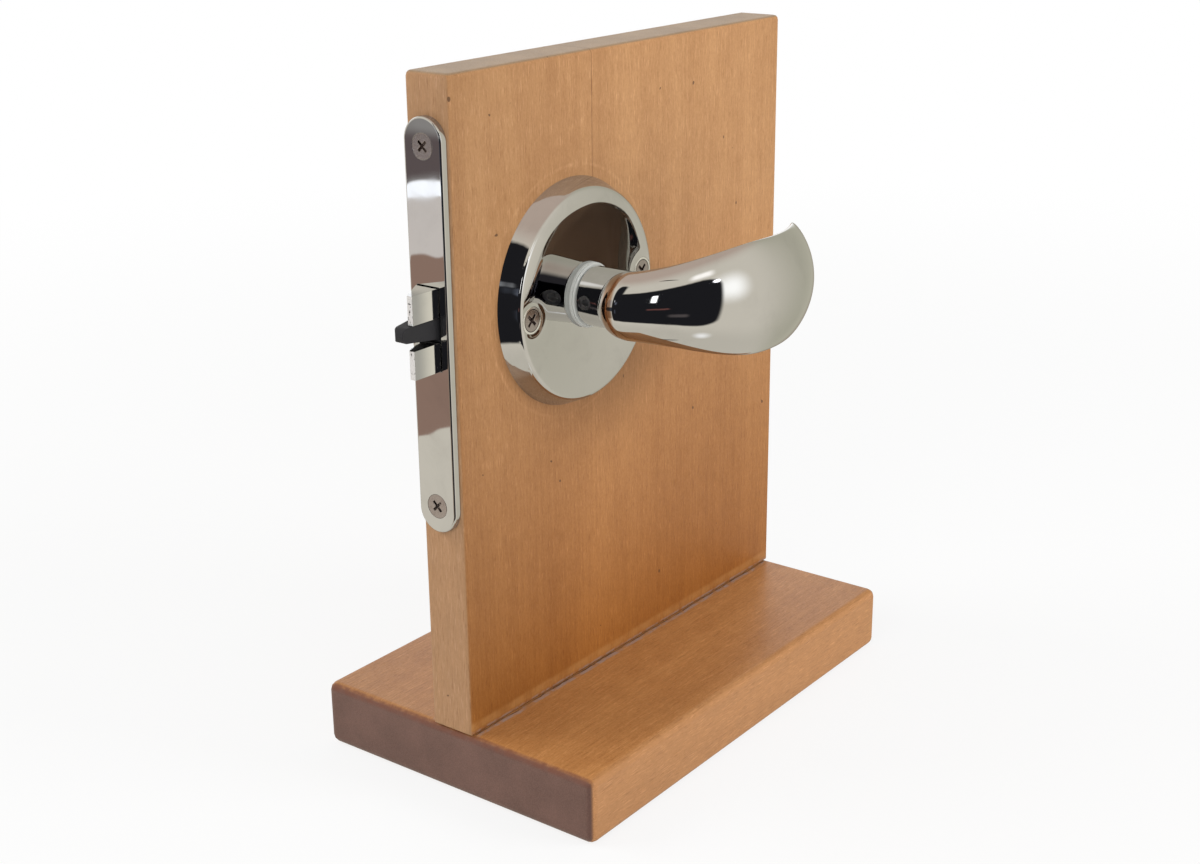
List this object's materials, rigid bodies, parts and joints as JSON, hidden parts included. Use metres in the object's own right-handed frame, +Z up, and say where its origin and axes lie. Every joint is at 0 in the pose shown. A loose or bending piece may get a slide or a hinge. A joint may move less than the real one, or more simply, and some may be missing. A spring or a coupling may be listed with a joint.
{
  "type": "mortise lever latch on a display stand",
  "caption": "Mortise lever latch on a wooden display stand: a curved scoop lever on a round rose draws a forked spring bolt in through a round-ended face plate.",
  "frame": {"origin": "middle of the base board's underside", "axes": "+X along the boards from the latch edge, -Y out of the front panel face with the lever, +Z up"},
  "size_m": [0.2147, 0.151, 0.256],
  "materials": {
    "wood": "oiled, fine straight grain",
    "chrome": "polished",
    "steel": "zinc plated",
    "spring_steel": "drawn wire",
    "black_nylon": "moulded, satin",
    "pale_nylon": "moulded, satin"
  },
  "bodies": {
    "stand": {"stand_base": "wood", "stand_panel": "wood", "stand_screws": "steel", "face_plate": "chrome", "plate_screws": "chrome", "latch_case": "steel", "case_cover": "steel", "cover_screws": "steel", "stop_pins": "steel", "bolt_spring": "spring_steel", "follower_spring": "spring_steel", "front_rose": "chrome", "rear_rose": "chrome", "rose_screws": "chrome", "sleeve_nuts": "chrome", "front_bush": "pale_nylon", "rear_bush": "pale_nylon"},
    "handle": {"follower": "steel", "spindle": "steel", "front_lever": "chrome", "rear_lever": "chrome", "front_grub_screw": "steel", "rear_grub_screw": "steel"},
    "bolt": {"bolt_head": "chrome", "bolt_tail": "steel", "tail_rivets": "steel", "spring_guide": "steel", "tongue_spring": "spring_steel"},
    "tongue": {"tongue": "black_nylon"}
  },
  "joints": [
    {"name": "lever_turn", "type": "hinge", "parent": "stand", "child": "handle", "pos_m": [-0.0365, 0, 0.1735], "axis": [0, 1, 0], "range_deg": [0, 38], "stiffness_Nm_per_rad": 0.8, "springref_deg": -40.11, "deforming": ["follower_spring"]},
    {"name": "bolt_slide", "type": "slide", "parent": "stand", "child": "bolt", "axis": [1, 0, 0], "range_m": [0, 0.0126], "stiffness_N_per_m": 300, "springref_m": -0.02, "deforming": ["bolt_spring"]},
    {"name": "tongue_slide", "type": "slide", "parent": "bolt", "child": "tongue", "axis": [1, 0, 0], "range_m": [0, 0.0045], "stiffness_N_per_m": 200, "springref_m": -0.004, "deforming": ["tongue_spring"]}
  ],
  "couplings": [
    {"joint": "bolt_slide", "follows": "lever_turn", "m_per_rad": 0.018847}
  ]
}
